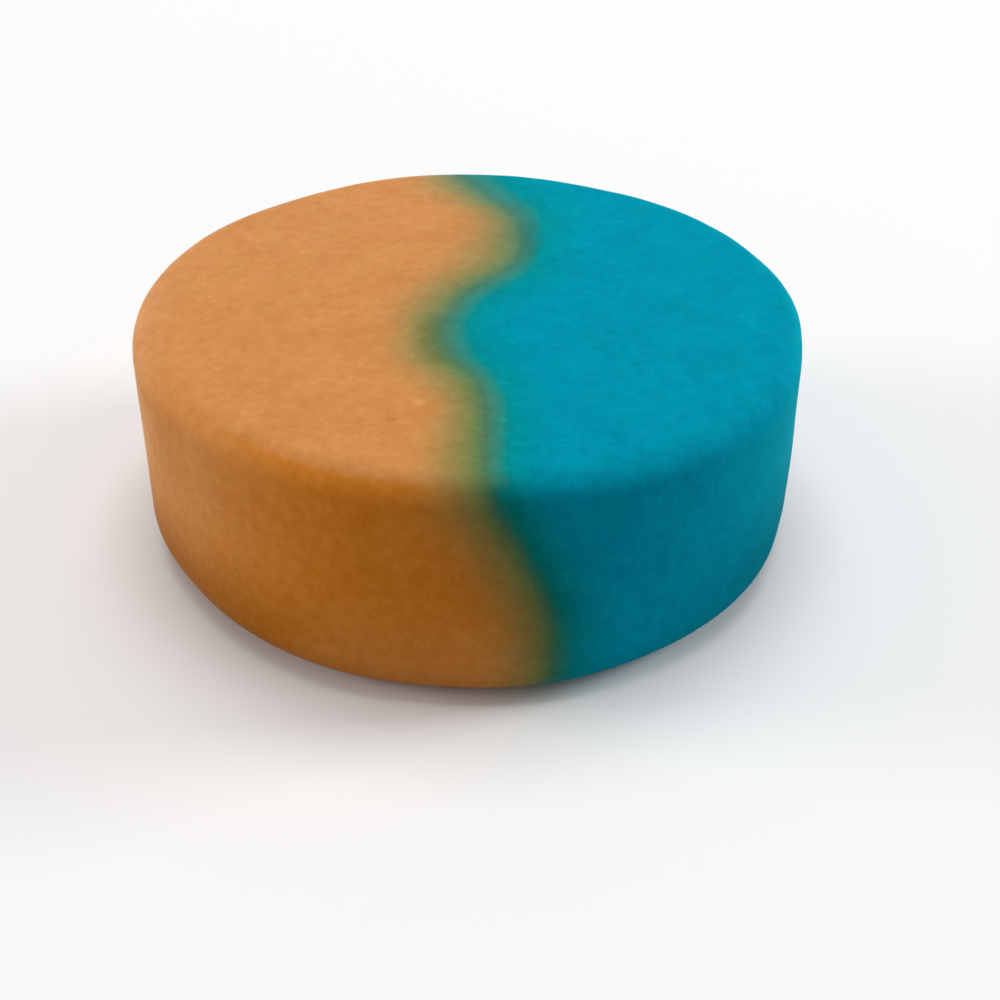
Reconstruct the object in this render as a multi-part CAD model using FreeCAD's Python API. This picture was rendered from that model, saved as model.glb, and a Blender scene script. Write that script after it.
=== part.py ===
import FreeCAD, Part
import math
import os

# A round bar of soap, cast in a mould as one piece. Millimetres, +Z up.
# The origin is the middle of the flat underside, on which the bar rests.

# Driving dimensions
TOP_DIAMETER = 80.0        # across the bar at the top edge's round
BASE_DIAMETER = 80.4       # across the bar at the bottom edge's round, its widest place
HEIGHT = 29.5              # from the underside to the middle of the top
CROWN_RISE = 0.3           # how far the middle of the top stands above its rim
TOP_EDGE_RADIUS = 3.4      # soft round along the edge of the top
BOTTOM_EDGE_RADIUS = 5.6   # fuller round, left by the corner of the mould


def arc(centre, radius, from_angle, to_angle):
    """An arc in the XZ plane, with its angles in radians from +X towards +Z."""
    points = []
    for angle in (from_angle, (from_angle + to_angle) / 2, to_angle):
        reach = FreeCAD.Vector(radius * math.cos(angle), 0, radius * math.sin(angle))
        points.append(centre + reach)
    return Part.Arc(*points)


def half_section():
    """The outline from the axis out to the wall, smooth from the underside to the crown."""
    top_centre = FreeCAD.Vector(
        TOP_DIAMETER / 2 - TOP_EDGE_RADIUS, 0, HEIGHT - CROWN_RISE - TOP_EDGE_RADIUS)
    bottom_centre = FreeCAD.Vector(
        BASE_DIAMETER / 2 - BOTTOM_EDGE_RADIUS, 0, BOTTOM_EDGE_RADIUS)

    # The wall touches both rounds, so its draft angle follows from their centres and radii.
    between = top_centre - bottom_centre
    draft = (math.atan2(-between.x, between.z)
             + math.asin((BOTTOM_EDGE_RADIUS - TOP_EDGE_RADIUS) / between.Length))

    # The crown is one wide arc that touches the top edge's round and peaks on the axis.
    below_peak = HEIGHT - top_centre.z
    crown_radius = ((top_centre.x ** 2 + below_peak ** 2 - TOP_EDGE_RADIUS ** 2)
                    / (2 * CROWN_RISE))
    crown_centre = FreeCAD.Vector(0, 0, HEIGHT - crown_radius)
    crown_start = math.acos(top_centre.x / (crown_radius - TOP_EDGE_RADIUS))

    bottom_round = arc(bottom_centre, BOTTOM_EDGE_RADIUS, -math.pi / 2, draft)
    top_round = arc(top_centre, TOP_EDGE_RADIUS, draft, crown_start)
    crown = arc(crown_centre, crown_radius, crown_start, math.pi / 2)
    foot = FreeCAD.Vector(0, 0, 0)
    underside = Part.LineSegment(foot, bottom_round.StartPoint)
    wall = Part.LineSegment(bottom_round.EndPoint, top_round.StartPoint)
    axis = Part.LineSegment(crown.EndPoint, foot)

    outline = (underside, bottom_round, wall, top_round, crown, axis)
    return Part.Wire([curve.toShape() for curve in outline])


def soap_bar():
    """The whole bar: its half section turned once round the vertical axis."""
    upright = FreeCAD.Vector(0, 0, 1)
    return Part.Face(half_section()).revolve(FreeCAD.Vector(0, 0, 0), upright, 360)


os.makedirs("parts", exist_ok=True)
soap_bar().exportStep("parts/soap_bar.step")
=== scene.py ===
import math

import bmesh
import bpy
from mathutils import Matrix, Vector, noise


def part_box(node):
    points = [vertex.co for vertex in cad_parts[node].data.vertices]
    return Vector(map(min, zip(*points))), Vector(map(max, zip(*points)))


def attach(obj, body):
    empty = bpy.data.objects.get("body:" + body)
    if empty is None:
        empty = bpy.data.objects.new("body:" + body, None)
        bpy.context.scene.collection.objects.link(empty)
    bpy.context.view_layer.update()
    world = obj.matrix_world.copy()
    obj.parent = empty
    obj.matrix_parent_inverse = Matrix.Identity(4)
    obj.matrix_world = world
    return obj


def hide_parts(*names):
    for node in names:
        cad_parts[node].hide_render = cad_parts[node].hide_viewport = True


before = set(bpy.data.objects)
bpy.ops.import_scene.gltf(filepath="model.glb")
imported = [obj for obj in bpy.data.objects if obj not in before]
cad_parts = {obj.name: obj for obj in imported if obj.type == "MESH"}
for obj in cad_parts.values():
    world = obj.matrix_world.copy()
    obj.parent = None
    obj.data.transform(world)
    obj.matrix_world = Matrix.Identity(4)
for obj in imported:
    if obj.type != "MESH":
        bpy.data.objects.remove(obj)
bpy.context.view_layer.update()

# A round bar of soap, cast in one piece from two colours that meet in a wavy line.
# Lengths are in millimetres until the mesh is made. +Z is up, and -Y is towards the viewer.
MM = 0.001

# The bar's profile, inside the size that its solid gives
LOW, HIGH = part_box("soap_bar")
BASE_RADIUS = (HIGH.x - LOW.x) / 2 / MM
HEIGHT = HIGH.z / MM
TAPER = 0.2                # how much less the radius is at the top edge
CROWN_RISE = 0.3
TOP_EDGE_RADIUS = 3.4
BOTTOM_EDGE_RADIUS = 5.6

# The mesh: quads of about half a millimetre
CAP_RINGS = 64             # from the middle of the top or underside to its edge
COLUMNS = 8 * CAP_RINGS    # round the wall
ROW_HEIGHT = 0.5

# Hand-made unevenness, all of it inside the solid's size
WALL_SKIN = 0.27           # how far the even wall lies inside the solid
TOP_SKIN = 0.09            # and the even top
UNDERSIDE_SKIN = 0.02
LUMPS = ((11.0, 0.07), (4.0, 0.025))   # (size, depth) of the gentle swells all over
# Pressed flats and, where the depth is negative, proud stretches:
# (azimuth, height, half width in degrees, half height, depth)
DENTS = (
    (128, 29, 14, 12, 0.82),
    (138, 28, 26, 14, 0.14),
    (66, 29, 14, 12, 0.50),
    (20, 29, 6, 9, 0.20),
    (350, 26, 9, 9, 0.42),
    (341, 5, 6, 6, 0.20),
    (264, 2, 9, 8, 0.28),
    (216, 3, 12, 8, 0.36),
    (101, 29, 12, 10, -0.10),
    (42, 29, 8, 10, -0.16),
    (206, 26, 8, 7, -0.26),
    (178, 6, 8, 7, -0.30),
    (322, 3, 12, 7, -0.28),
    (285, 2, 10, 6, -0.18),
    (294, 28.4, 16, 1.8, -0.20),
)
DENT_FADE = 6              # the power of the radius by which they fade towards the middle

# The line between the colours: its x at each y on the top, and how far it drifts down the wall
LINE_ON_TOP = (
    (-40, 1.2), (-36, 0.6), (-27, 0.7), (-22, 0.25), (-18, -1.3), (-14, -3.3), (-9.5, -4.0),
    (-4, -2.95), (0, -1.55), (4, 1.05), (8, 4.1), (12, 5.35), (18, 5.7), (23, 4.85), (28, 2.3),
    (34, -0.9), (40, -3.2))
FRONT_DRIFT = ((0, 7.3), (5, 7.5), (10, 7.35), (14, 6.55), (20, 4.2), (25, 1.85), (29.5, 0.05))
BACK_DRIFT = ((0, -3.0), (6, -4.2), (13, -4.0), (21, -1.8), (29.5, 0))
FRONT_TO_BACK = (-15, 15)  # the y over which the one drift gives way to the other
LINE_WOBBLE = ((5.0, 0.6), (1.4, 0.35), (0.5, 0.25))   # (size, reach) of its small wanderings
# How wide each colour runs into the other on the top, by y
ORANGE_RUN = (
    (-38, 0.86), (-33, 0.84), (-29, 0.8), (-26.5, 0.72), (-23, 0.84), (-17, 0.96), (-13, 0.92),
    (-9.5, 0.81), (-5, 0.95), (0, 0.99), (4, 1.18), (9, 1.3), (14, 1.2), (18, 1.08), (23, 0.98),
    (28, 1.1), (36, 1.0))
TEAL_RUN = (
    (-38, 0.76), (-33, 0.79), (-27, 0.84), (-22, 0.83), (-14, 1.02), (-6.5, 0.95), (-1, 1.03),
    (3.6, 1.22), (7, 1.0), (10.5, 0.88), (17, 0.91), (20, 1.0), (24, 1.22), (30, 1.42), (36, 1.5))

# Colours across the line, from orange to blue-green: (millimetres past the line, sRGB). The top's
# paler run is a painted lit copy and the wall's deeper run a painted shaded copy of the same colours.
LIT_TOP_COLOURS = (
    (-10, (208, 139, 77)), (-7.5, (203, 139, 77)), (-6, (191, 138, 78)), (-4.5, (174, 137, 78)),
    (-3, (152, 134, 77)), (-1.2, (125, 130, 75)), (0, (97, 126, 80)), (0.8, (78, 120, 90)),
    (1.6, (66, 128, 105)), (2.9, (40, 136, 124)), (3.7, (6, 138, 140)), (5.5, (1, 142, 155)),
    (8, (1, 143, 164)), (10, (1, 144, 169)))
SHADED_WALL_COLOURS = (
    (-9.6, (209, 125, 39)), (-7.5, (205, 126, 44)), (-5.4, (190, 127, 52)),
    (-3.8, (166, 125, 60)), (-2.15, (138, 122, 65)), (-1.1, (110, 117, 67)), (0, (75, 113, 78)),
    (0.8, (38, 114, 95)), (1.6, (5, 119, 113)), (2.6, (1, 127, 129)), (3.9, (1, 136, 149)),
    (5.7, (1, 141, 164)), (8.8, (1, 143, 171)))
COLOUR_SPAN = (-12, 11)    # the millimetres that both colour ramps cover
TOP_BLEND = (27.9, 28.9)   # heights over which the wall's colours give way to the top's

# Where the orange wall takes the top's paler colours, as painted light on its lit left flank and at
# its foot: each pair is where that starts and is full
LOW_WALL = (4, 20)         # heights over which the low wall gives way to the high wall
LOW_SHARE = 0.5            # how much of the flank's paleness and of the sheen the low wall has
FLANK_PALE = (-13, -34)    # x on the high wall
FLANK_LEAN = 5             # how much farther out that lies at the foot
FOOT_HEIGHTS = (16, 3)
FOOT_PLACES = (-26, -10)   # x
PAINTED_FOOT_PALLOR = 0.45           # how pale the foot gets

# A sheen at a grazing view, painted into the colour
ORANGE_SHEEN = (222, 169, 127)   # what the two colours pale to
TEAL_SHEEN = (2, 168, 186)
SHEEN_SIDES = (2, -6)      # millimetres past the line over which the orange's takes over
SHEEN_START = 0.4          # how far a surface faces away where the sheen starts
WALL_SHEEN = 0.8
TOP_SHEEN = 0.45
OUTLINE_SHEEN = 0.94       # the orange wall's, which keeps to its outline
OUTLINE_POWER = 6
# The orange's outermost left strip has painted sheen from every view, standing in for the light from
# the left
OUTER_STRIP = (-31, -39)   # x of the orange's outermost strip
STRIP_SHEEN = 0.3          # and the sheen that it has from everywhere

# Deeper and lighter places: painted shade low on both flanks, painted light at the front's foot, and
# the line's darker tight bends. Each pair is where it starts and is full, and for a window where it
# ends too
LEFT_FLANK = {"heights": (16.5, 3), "places": (-8, -28)}
RIGHT_FLANK = {"heights": (21, 4), "places": (19, 36)}
FRONT_FOOT = {"heights": (20, 5), "places": (-14, -6, 16, 26)}
LEFT_BEND = {"along": (-19, -13, -9, -2), "across": (-4, -1, -0.5, 1)}   # y, and past the line
RIGHT_BEND = {"along": (6, 12, 19, 24), "across": (0, 1.5, 2, 4.5)}
FLANK_PAINTED_SHADE = 0.41
FOOT_PAINTED_LIGHT = 0.10
BEND_DARKER = 0.15

# Patterns in the colour: (size, reach) of clouds, mottle and grain
CLOUDS = (6.0, 0.15)
MOTTLE = (1.3, 0.23)
GRAIN = (0.35, 0.15)
GRAIN_ROUGHNESS = 0.6
GRAIN_TINT = (0.0, 0.13, 0.11)   # what the patterns add to the colour where it is light
# Pale flecks, which lie in loose groups. The edges are the noise at which each fades in.
FLECK_SIZE, FLECK_EDGE = 1.0, (0.54, 0.78)
GROUP_SIZE, GROUP_EDGE = 9.0, (0.42, 0.66)
FLECK_REACH = 0.07
# Patches of a redder and a yellower orange
PATCH_SIZE, PATCH_EDGE = 3.0, (0.35, 0.65)
RED_PATCH = (1.012, 0.992, 1.008, 1.0)
YELLOW_PATCH = (0.988, 1.008, 0.992, 1.0)
# Single small marks on the top: (x, y, half its size along x, along y, how much paler)
MARKS = (
    (-8.1, -27.7, 0.75, 0.5, -0.12),
    (-5.4, -24.5, 0.65, 0.65, 0.10),
    (3.4, -20.3, 0.45, 0.5, 0.10),
    (3.5, -27.8, 0.45, 0.6, 0.10),
    (16.1, -9.9, 0.7, 0.5, 0.05),
    (14.9, -8.2, 0.6, 0.5, 0.05),
)
MARK_EDGE = (1.4, 0.4)     # half sizes from its middle at which a mark starts and is full
MARK_HEIGHT = 3.0          # half its size along z

# The surface's fine relief
MOTTLE_RELIEF = 0.8        # how strong the mottle is in it, beside the grain
PIT_SPACING = 2.4
PIT_EDGE = (0.09, 0)       # spacings from its middle at which a pinhole starts and is full
PIT_CHOICE = (0.8, 1)      # only the spots with a random value in this range have one
RELIEF_DEPTH = 0.05
RELIEF_STRENGTH = 0.5
LEAST_ROUGHNESS = 0.52
MOTTLE_ROUGHNESS = 0.2     # what the mottle adds to it
SPECULAR = 0.004           # next to none, as the sheen is in the colour


def profile():
    """Stations along the half section, from the rim of the top to the rim of the underside.

    Each is (radius, height, outward radial part, outward vertical part).
    """
    top_centre = Vector((BASE_RADIUS - TAPER - TOP_EDGE_RADIUS,
                         HEIGHT - CROWN_RISE - TOP_EDGE_RADIUS))
    bottom_centre = Vector((BASE_RADIUS - BOTTOM_EDGE_RADIUS, BOTTOM_EDGE_RADIUS))
    between = top_centre - bottom_centre
    draft = (math.atan2(-between.x, between.y)
             + math.asin((BOTTOM_EDGE_RADIUS - TOP_EDGE_RADIUS) / between.length))

    def round_edge(centre, radius, start, end):
        steps = max(2, math.ceil(abs(end - start) * radius / ROW_HEIGHT))
        for step in range(steps + 1):
            angle = start + (end - start) * step / steps
            out = Vector((math.cos(angle), math.sin(angle)))
            yield centre + radius * out, out

    upper = list(round_edge(top_centre, TOP_EDGE_RADIUS, math.pi / 2, draft))
    lower = list(round_edge(bottom_centre, BOTTOM_EDGE_RADIUS, draft, -math.pi / 2))
    wall_start, out = upper[-1]
    wall = lower[0][0] - wall_start
    rows = math.ceil(wall.length / ROW_HEIGHT)
    straight = [(wall_start + wall * row / rows, out) for row in range(1, rows)]
    return [(place.x, place.y, out.x, out.y) for place, out in upper + straight + lower]


def dent_depth(azimuth, height):
    """How far the outline is pressed in at this azimuth (degrees) and height."""
    depth = 0.0
    for middle, level, half_width, half_height, reach in DENTS:
        aside = (azimuth - middle + 180) % 360 - 180
        depth += reach * math.exp(-(aside / half_width) ** 2
                                  - ((height - level) / half_height) ** 2)
    return depth


def swell(place):
    """The gentle swells and hollows of a soft material, in millimetres."""
    return sum(depth * noise.noise(place / size) for size, depth in LUMPS)


def uneven(radius, height, angle, out_radial, out_up):
    """A point of the surface, moved in from the even profile by its unevenness."""
    place = Vector((radius * math.cos(angle), radius * math.sin(angle), height))
    bumps = swell(place)
    rim_share = (radius / BASE_RADIUS) ** DENT_FADE
    dent = dent_depth(math.degrees(angle), height) * rim_share
    radius -= max(0.0, (WALL_SKIN + bumps) * out_radial + dent)
    if out_up > 0:
        height -= (TOP_SKIN + bumps) * out_up
    else:
        height += UNDERSIDE_SKIN
    return Vector((radius * math.cos(angle), radius * math.sin(angle), height)) * MM


def cap_cell(i, j):
    """Radius share and angle of a grid corner, when square rings are drawn out to circles."""
    ring = max(abs(i), abs(j))
    if ring == 0:
        return 0.0, 0.0
    if abs(i) >= abs(j):
        angle = math.pi / 4 * j / i + (math.pi if i < 0 else 0)
    else:
        angle = math.pi / 2 - math.pi / 4 * i / j + (math.pi if j < 0 else 0)
    return ring / CAP_RINGS, angle % (2 * math.pi)


def add_cap(bm, rim_radius, height_at, out_up):
    """A disc of quads. Returns its rim's vertices in order of angle."""
    rim = [None] * COLUMNS
    corners = {}
    span = range(-CAP_RINGS, CAP_RINGS + 1)
    for i in span:
        for j in span:
            share, angle = cap_cell(i, j)
            radius = share * rim_radius
            corner = bm.verts.new(uneven(radius, height_at(radius), angle, 0.0, out_up))
            corners[i, j] = corner
            if max(abs(i), abs(j)) == CAP_RINGS:
                rim[round(angle / (2 * math.pi) * COLUMNS) % COLUMNS] = corner
    for i in span[:-1]:
        for j in span[:-1]:
            quad = [corners[i, j], corners[i + 1, j], corners[i + 1, j + 1], corners[i, j + 1]]
            bm.faces.new(quad if out_up > 0 else reversed(quad))
    return rim


def crown_height(radius):
    """Height of the even top at this radius."""
    rim_radius = BASE_RADIUS - TAPER - TOP_EDGE_RADIUS
    return HEIGHT - CROWN_RISE * (radius / rim_radius) ** 2


def mesh_object(name, bm):
    """A new object in the scene with this mesh, which is freed."""
    mesh = bpy.data.meshes.new(name)
    bm.to_mesh(mesh)
    bm.free()
    made = bpy.data.objects.new(name, mesh)
    bpy.context.scene.collection.objects.link(made)
    return made


def make_bar():
    """The bar's whole surface: two caps joined by rows of quads round the edges and wall."""
    stations = profile()
    bm = bmesh.new()
    upper_rim = add_cap(bm, stations[0][0], crown_height, 1.0)
    lower_rim = add_cap(bm, stations[-1][0], lambda radius: 0.0, -1.0)
    rows = [upper_rim]
    for radius, height, out_radial, out_up in stations[1:-1]:
        rows.append([
            bm.verts.new(uneven(radius, height, 2 * math.pi * column / COLUMNS,
                                out_radial, out_up))
            for column in range(COLUMNS)])
    rows.append(lower_rim)
    for above, below in zip(rows, rows[1:]):
        for column in range(COLUMNS):
            following = (column + 1) % COLUMNS
            bm.faces.new((above[column], below[column], below[following], above[following]))
    for face in bm.faces:
        face.smooth = True
    return mesh_object("bar_of_soap", bm)


def linear(colour):
    """An sRGB colour of 0 to 255, as the linear RGBA that shaders take."""
    def channel(value):
        value /= 255
        return value / 12.92 if value <= 0.04045 else ((value + 0.055) / 1.055) ** 2.4
    return (*map(channel, colour), 1.0)


def grey(value):
    """A linear grey as RGBA; 1 is white."""
    return (value, value, value, 1.0)


class Graph:
    """Short ways to add and join the nodes of one material or world."""

    def __init__(self, owner, output):
        owner.use_nodes = True
        self.tree = owner.node_tree
        self.tree.nodes.clear()
        self.surface = self.add(output).inputs["Surface"]

    def add(self, kind, inputs=None, **settings):
        node = self.tree.nodes.new(kind)
        for name, value in settings.items():
            setattr(node, name, value)
        for name, value in (inputs or {}).items():
            self.give(node.inputs[name], value)
        return node

    def give(self, socket, value):
        if isinstance(value, bpy.types.NodeSocket):
            self.tree.links.new(value, socket)
        else:
            socket.default_value = value

    def math(self, operation, *values):
        node = self.add("ShaderNodeMath", operation=operation)
        for socket, value in zip(node.inputs, values):
            self.give(socket, value)
        return node.outputs[0]

    def vector(self, operation, *values, output="Vector"):
        node = self.add("ShaderNodeVectorMath", operation=operation)
        for socket, value in zip(node.inputs, values):
            self.give(socket, value)
        return node.outputs[output]

    def scaled(self, vector, factor):
        return self.add("ShaderNodeVectorMath", {0: vector, "Scale": factor},
                        operation="SCALE").outputs["Vector"]

    def share_of(self, value, start, end, **settings):
        """0 at one value and 1 at the other."""
        return self.add("ShaderNodeMapRange", {"Value": value, "From Min": start, "From Max": end},
                        **settings).outputs["Result"]

    def smooth_step(self, value, start, end):
        return self.share_of(value, start, end, interpolation_type="SMOOTHSTEP")

    def window(self, value, start, full, still_full, end):
        """1 between two inner values, falling softly to 0 at the outer ones."""
        return self.math("MULTIPLY", self.smooth_step(value, start, full),
                         self.smooth_step(value, end, still_full))

    def noise(self, place, size, detail=2.0, roughness=0.5):
        return self.add("ShaderNodeTexNoise",
                        {"Vector": place, "Scale": 1 / size, "Detail": detail,
                         "Roughness": roughness}).outputs["Fac"]

    def mix(self, share, first, second, blend="MIX"):
        node = self.add("ShaderNodeMix", data_type="RGBA", blend_type=blend)
        self.give(node.inputs["Factor"], share)
        self.give(node.inputs[6], first)
        self.give(node.inputs[7], second)
        return node.outputs[2]

    def curve(self, value, points):
        """A smooth curve through (x, y) points."""
        xs = [x for x, _ in points]
        ys = [y for _, y in points]
        start, end, least, most = min(xs), max(xs), min(ys), max(ys)
        node = self.add("ShaderNodeFloatCurve", {"Value": self.share_of(value, start, end)})
        curve = node.mapping.curves[0]
        while len(curve.points) < len(points):
            curve.points.new(0.5, 0.5)
        for point, (x, y) in zip(curve.points, points):
            point.location = ((x - start) / (end - start), (y - least) / (most - least))
        node.mapping.update()
        return self.math("MULTIPLY_ADD", node.outputs["Value"], most - least, least)

    def colour_ramp(self, value, stops):
        start, end = COLOUR_SPAN
        node = self.add("ShaderNodeValToRGB", {"Fac": self.share_of(value, start, end)})
        elements = node.color_ramp.elements
        while len(elements) < len(stops):
            elements.new(0.5)
        for element, (place, colour) in zip(elements, stops):
            element.position = (place - start) / (end - start)
            element.color = linear(colour)
        return node.outputs["Color"]

    def seen_directly(self):
        """1 where the camera, a mirror or clear glass looks at the surface, otherwise 0."""
        path = self.add("ShaderNodeLightPath").outputs
        seen = self.math("MAXIMUM", path["Is Camera Ray"], path["Is Glossy Ray"])
        return self.math("MAXIMUM", seen, path["Is Transmission Ray"])


def past_line(g, place):
    """Millimetres past the wavy line, which drifts one way down the front, the other down the back."""
    x, y, z = g.add("ShaderNodeSeparateXYZ", {"Vector": place}).outputs
    behind = g.smooth_step(y, *FRONT_TO_BACK)
    front = g.math("MULTIPLY", g.curve(z, FRONT_DRIFT), g.math("SUBTRACT", 1.0, behind))
    back = g.math("MULTIPLY", g.curve(z, BACK_DRIFT), behind)
    line = g.math("ADD", g.curve(y, LINE_ON_TOP), g.math("ADD", front, back))
    for size, reach in LINE_WOBBLE:
        wander = g.math("SUBTRACT", g.noise(place, size), 0.5)
        line = g.math("MULTIPLY_ADD", wander, reach, line)
    return g.math("SUBTRACT", x, line)


def run_spread(g, y, past):
    """The distance past the line on the top, as if both colours ran equally far everywhere."""
    orange_run = g.math("DIVIDE", g.math("MINIMUM", past, 0.0), g.curve(y, ORANGE_RUN))
    teal_run = g.math("DIVIDE", g.math("MAXIMUM", past, 0.0), g.curve(y, TEAL_RUN))
    return g.math("ADD", orange_run, teal_run)


def painted_light_on_orange(g, x, z, upper_share):
    """How far the orange wall goes over to the top's paler colours: painted light on its lit flank and
    at its foot.
    """
    low = g.math("SUBTRACT", 1.0, g.smooth_step(z, *LOW_WALL))
    flank_place = g.math("MULTIPLY_ADD", low, FLANK_LEAN, x)
    on_flank = g.math("MULTIPLY", g.smooth_step(flank_place, *FLANK_PALE), upper_share)
    on_foot = g.math("MULTIPLY", g.smooth_step(z, *FOOT_HEIGHTS), g.smooth_step(x, *FOOT_PLACES))
    return g.math("MAXIMUM", on_flank, g.math("MULTIPLY", on_foot, PAINTED_FOOT_PALLOR))


def with_painted_sheen(g, colour, x, past, on_top, upper_share):
    """The colour with a painted sheen: fainter on the top and low on the wall, and on the orange
    wall only near its outline, beside the strip that has it from everywhere."""
    facing = g.add("ShaderNodeLayerWeight").outputs["Facing"]
    gentle = g.math("MULTIPLY", g.smooth_step(facing, SHEEN_START, 1.0),
                    g.math("MULTIPLY_ADD", on_top, TOP_SHEEN - WALL_SHEEN, WALL_SHEEN))
    outline = g.math("MULTIPLY", g.math("POWER", facing, OUTLINE_POWER), OUTLINE_SHEEN)
    strip = g.math("MULTIPLY", g.smooth_step(x, *OUTER_STRIP), STRIP_SHEEN)
    orange_share = g.math("MAXIMUM", outline, g.math("MULTIPLY", gentle, on_top))
    orange_share = g.math("MAXIMUM", orange_share, strip)
    on_orange = g.smooth_step(past, *SHEEN_SIDES)
    extra = g.math("MULTIPLY", on_orange, g.math("SUBTRACT", orange_share, gentle))
    share = g.math("MULTIPLY", upper_share, g.math("ADD", gentle, extra))
    return g.mix(share, colour, g.mix(on_orange, linear(TEAL_SHEEN), linear(ORANGE_SHEEN)))


def depth_factor(g, x, y, z, spread):
    """What the colour is multiplied by: less on the low flanks, as painted shade, and in the line's
    two tight bends, more at the front's foot, as painted light."""
    factor = 1.0
    for flank in (LEFT_FLANK, RIGHT_FLANK):
        where = g.math("MULTIPLY", g.smooth_step(z, *flank["heights"]),
                       g.smooth_step(x, *flank["places"]))
        factor = g.math("MULTIPLY_ADD", where, -FLANK_PAINTED_SHADE, factor)
    where = g.math("MULTIPLY", g.smooth_step(z, *FRONT_FOOT["heights"]),
                   g.window(x, *FRONT_FOOT["places"]))
    factor = g.math("MULTIPLY_ADD", where, FOOT_PAINTED_LIGHT, factor)
    for bend in (LEFT_BEND, RIGHT_BEND):
        where = g.math("MULTIPLY", g.window(y, *bend["along"]), g.window(spread, *bend["across"]))
        factor = g.math("MULTIPLY_ADD", where, -BEND_DARKER, factor)
    return factor


def pattern_tone(g, place, mottle, grain):
    """How much paler or darker the flecks, clouds, mottle, grain and single marks make it."""
    fleck = g.math("MULTIPLY",
                   g.smooth_step(g.noise(place, FLECK_SIZE, detail=1.0), *FLECK_EDGE),
                   g.smooth_step(g.noise(place, GROUP_SIZE, detail=1.0), *GROUP_EDGE))
    tone = g.math("MULTIPLY", fleck, FLECK_REACH)
    clouds = g.noise(place, CLOUDS[0])
    for pattern, (_, reach) in ((clouds, CLOUDS), (mottle, MOTTLE), (grain, GRAIN)):
        tone = g.math("MULTIPLY_ADD", g.math("SUBTRACT", pattern, 0.5), reach, tone)
    for x, y, half_x, half_y, reach in MARKS:
        aside = g.vector("SUBTRACT", place, (x, y, HEIGHT))
        aside = g.vector("MULTIPLY", aside, (1 / half_x, 1 / half_y, 1 / MARK_HEIGHT))
        away = g.vector("LENGTH", aside, output="Value")
        tone = g.math("MULTIPLY_ADD", g.smooth_step(away, *MARK_EDGE), reach, tone)
    return tone


def relief_normal(g, place, mottle, grain):
    """The surface's direction over the grain, shallow hollows and a few pinholes."""
    pits = g.add("ShaderNodeTexVoronoi", {"Vector": place, "Scale": 1 / PIT_SPACING}).outputs
    chance = g.add("ShaderNodeSeparateColor", {"Color": pits["Color"]}).outputs[1]
    pit = g.math("MULTIPLY", g.smooth_step(pits["Distance"], *PIT_EDGE),
                 g.smooth_step(chance, *PIT_CHOICE))
    relief = g.math("SUBTRACT", g.math("MULTIPLY_ADD", mottle, MOTTLE_RELIEF, grain), pit)
    return g.add("ShaderNodeBump", {"Strength": RELIEF_STRENGTH, "Distance": RELIEF_DEPTH * MM,
                                    "Height": relief}).outputs["Normal"]


def soap_material():
    """Matt cast soap: two colours that run into each other, faint clouding, specks and grain."""
    material = bpy.data.materials.new("cast_soap")
    g = Graph(material, "ShaderNodeOutputMaterial")
    place = g.scaled(g.add("ShaderNodeTexCoord").outputs["Object"], 1 / MM)
    x, y, z = g.add("ShaderNodeSeparateXYZ", {"Vector": place}).outputs
    on_top = g.smooth_step(z, *TOP_BLEND)
    upper_share = g.math("MULTIPLY_ADD", g.smooth_step(z, *LOW_WALL), 1 - LOW_SHARE, LOW_SHARE)

    # The two colour runs: a paler one on the top and a deeper one on the wall, which are painted lit
    # and shaded copies of the same colours
    past = past_line(g, place)
    spread = run_spread(g, y, past)
    pale = g.math("MAXIMUM", on_top, painted_light_on_orange(g, x, z, upper_share))
    colour = g.mix(pale, g.colour_ramp(past, SHADED_WALL_COLOURS), g.colour_ramp(spread, LIT_TOP_COLOURS))
    colour = with_painted_sheen(g, colour, x, past, on_top, upper_share)
    patches = g.smooth_step(g.noise(place, PATCH_SIZE), *PATCH_EDGE)
    colour = g.mix(1.0, colour, g.mix(patches, RED_PATCH, YELLOW_PATCH), blend="MULTIPLY")
    colour = g.scaled(colour, depth_factor(g, x, y, z, spread))

    mottle = g.noise(place, MOTTLE[0])
    grain = g.noise(place, GRAIN[0], roughness=GRAIN_ROUGHNESS)
    speckle = g.scaled(g.vector("ADD", colour, GRAIN_TINT), pattern_tone(g, place, mottle, grain))
    roughness = g.math("MULTIPLY_ADD", mottle, MOTTLE_ROUGHNESS, LEAST_ROUGHNESS)
    shader = g.add("ShaderNodeBsdfPrincipled",
                   {"Base Color": g.vector("ADD", colour, speckle), "Roughness": roughness,
                    "Specular IOR Level": SPECULAR,
                    "Normal": relief_normal(g, place, mottle, grain)})
    g.give(g.surface, shader.outputs["BSDF"])
    return material


# The stage: a pale floor under a soft studio light
FLOOR_HALF = 1.5           # metres
FLOOR_SEEN = 0.93          # how pale the floor is to the camera
FLOOR_BOUNCE = 0.45        # and how much light it gives back to the bar
FLOOR_FADE = (0.4, 1.0)    # metres from the bar over which it fades to the white behind it
AMBIENT = 0.33             # light from all round
# Square area lights aimed at the bar: name, place and size in metres, power in watts
SOFTBOXES = (
    ("overhead", (0, 0.4, 2.4), 1.6, 29),
    ("left", (-2.2, 0.2, 0.45), 0.8, 26),
    ("right", (2.12, 0.57, 0.9), 0.8, 27),
)


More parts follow.
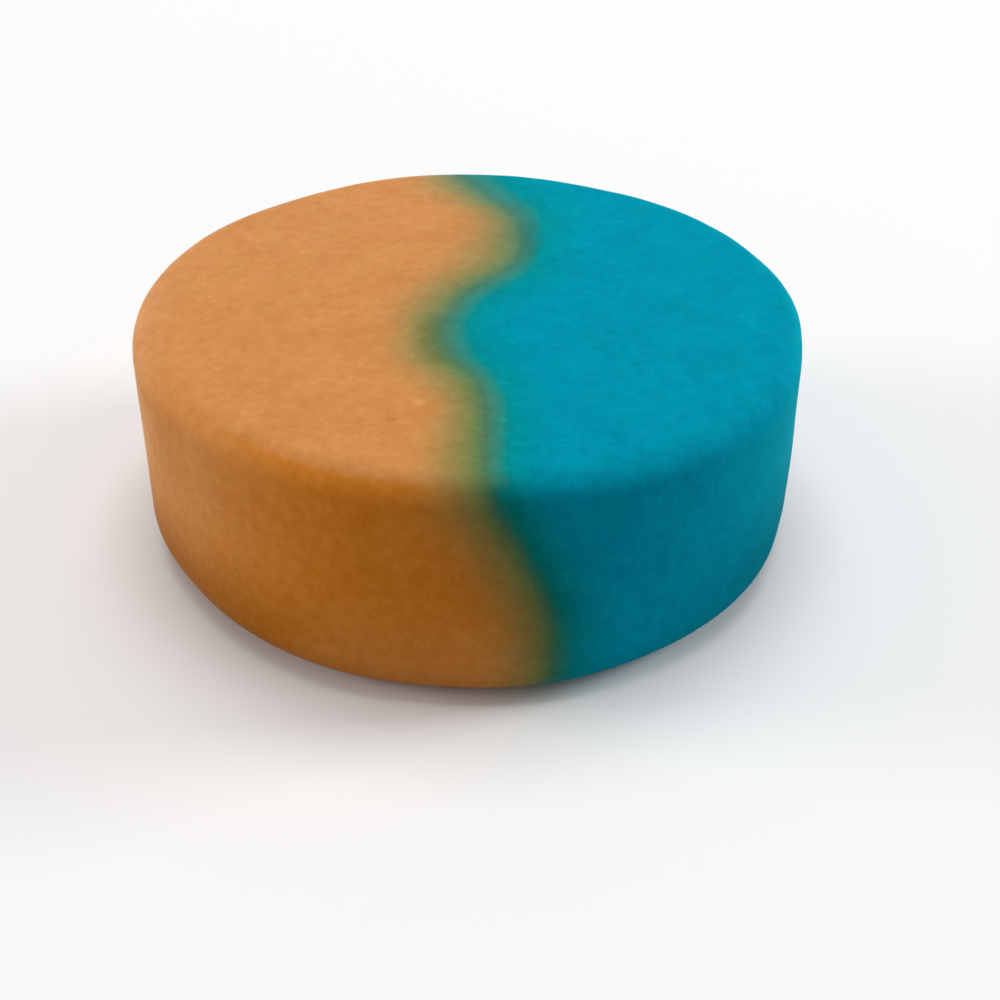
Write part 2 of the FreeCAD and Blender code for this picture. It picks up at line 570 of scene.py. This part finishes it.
def floor_material():
    """Pale, with the bar's shadow, and plain white in the distance to whoever looks at it."""
    material = bpy.data.materials.new("pale_floor")
    g = Graph(material, "ShaderNodeOutputMaterial")
    seen = g.seen_directly()
    shade = g.mix(seen, grey(FLOOR_BOUNCE), grey(FLOOR_SEEN))
    diffuse = g.add("ShaderNodeBsdfDiffuse", {"Color": shade}).outputs["BSDF"]
    white = g.add("ShaderNodeEmission", {"Color": grey(1.0), "Strength": 1.0}).outputs["Emission"]
    place = g.add("ShaderNodeTexCoord").outputs["Object"]
    away = g.vector("LENGTH", place, output="Value")
    share = g.math("MULTIPLY", seen, g.smooth_step(away, *FLOOR_FADE))
    mixed = g.add("ShaderNodeMixShader", {0: share, 1: diffuse, 2: white})
    g.give(g.surface, mixed.outputs["Shader"])
    return material


def make_floor():
    bm = bmesh.new()
    corners = [bm.verts.new((x * FLOOR_HALF, y * FLOOR_HALF, 0))
               for x, y in ((-1, -1), (1, -1), (1, 1), (-1, 1))]
    bm.faces.new(corners)
    floor = mesh_object("floor", bm)
    floor.data.materials.append(floor_material())


def make_world():
    """White to whoever looks at it, and a low even light to the bar."""
    world = bpy.data.worlds.new("studio")
    bpy.context.scene.world = world
    g = Graph(world, "ShaderNodeOutputWorld")
    strength = g.math("MULTIPLY_ADD", g.seen_directly(), 1.0 - AMBIENT, AMBIENT)
    background = g.add("ShaderNodeBackground", {"Color": grey(1.0), "Strength": strength})
    g.give(g.surface, background.outputs["Background"])


def make_lights():
    middle = Vector((0, 0, HEIGHT / 2 * MM))
    for name, place, size, power in SOFTBOXES:
        lamp = bpy.data.lights.new(name, "AREA")
        lamp.shape = "SQUARE"
        lamp.size = size
        lamp.energy = power
        light = bpy.data.objects.new(name, lamp)
        light.location = place
        light.rotation_euler = (middle - Vector(place)).to_track_quat("-Z", "Y").to_euler()
        bpy.context.scene.collection.objects.link(light)


# The photograph's camera
CAMERA_BACK = 153.6        # in front of the bar's axis
CAMERA_HEIGHT = 107.8
CAMERA_TURN = math.radians(1.456)   # to the right
CAMERA_TILT = math.radians(35.17)   # down
CAMERA_ROLL = math.radians(1.082)
LENS = 51.7                # for a sensor of this width
SENSOR_WIDTH = 36
NEAREST_SEEN = 10


def make_camera():
    camera = bpy.data.objects.new("camera", bpy.data.cameras.new("camera"))
    camera.data.lens = LENS
    camera.data.sensor_width = SENSOR_WIDTH
    camera.data.clip_start = NEAREST_SEEN * MM
    facing = (Matrix.Rotation(-CAMERA_TURN, 4, "Z")
              @ Matrix.Rotation(math.pi / 2 - CAMERA_TILT, 4, "X")
              @ Matrix.Rotation(CAMERA_ROLL, 4, "Z"))
    camera.matrix_world = Matrix.Translation(
        Vector((0, -CAMERA_BACK, CAMERA_HEIGHT)) * MM) @ facing
    bpy.context.scene.collection.objects.link(camera)
    bpy.context.scene.camera = camera


bar = make_bar()
bar.data.materials.append(soap_material())
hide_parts("soap_bar")
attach(bar, "root")

make_floor()
make_world()
make_lights()
make_camera()
bpy.context.scene.view_settings.view_transform = "Standard"
